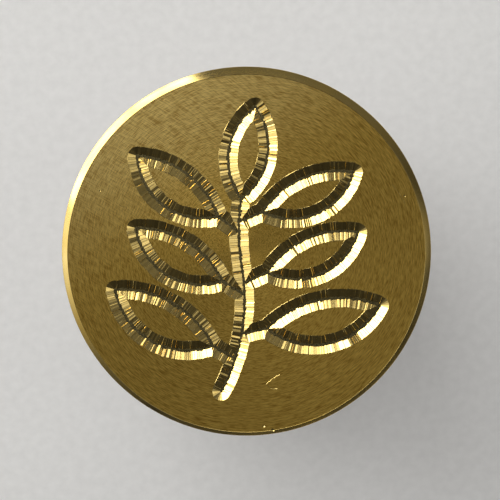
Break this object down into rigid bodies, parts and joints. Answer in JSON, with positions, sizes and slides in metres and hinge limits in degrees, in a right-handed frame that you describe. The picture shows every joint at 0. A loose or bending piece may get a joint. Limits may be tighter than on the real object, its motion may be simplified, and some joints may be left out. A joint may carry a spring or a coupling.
{
  "type": "seal stamp",
  "caption": "Hand seal stamp with an engraved round brass head that screws onto a turned wooden handle with a brass ferrule.",
  "frame": {"origin": "middle of the handle's flat end, which is the bottom of the object as it stands", "axes": "+Z from the handle's flat end to the engraved face, along the axis of turning; +Y is the top of the engraving and +X its right side, seen from above"},
  "size_m": [0.025, 0.025, 0.0854],
  "materials": {
    "head_brass": "satin",
    "fitting_brass": "satin",
    "stud_steel": "satin",
    "handle_wood": "satin"
  },
  "bodies": {
    "handle": {"handle_grip": "handle_wood", "ferrule": "fitting_brass", "stud_insert": "fitting_brass"},
    "stud": {"threaded_stud": "stud_steel"},
    "die": {"seal_die": "head_brass"}
  },
  "joints": [
    {"name": "die_turn", "type": "hinge", "parent": "handle", "child": "stud", "pos_m": [0, 0, 0.0714], "axis": [0, 0, 1], "range_deg": [0, 3240]},
    {"name": "die_rise", "type": "slide", "parent": "stud", "child": "die", "axis": [0, 0, 1], "range_m": [0, 0.009]}
  ],
  "couplings": [
    {"joint": "die_rise", "follows": "die_turn", "m_per_rad": 0.00015915}
  ]
}
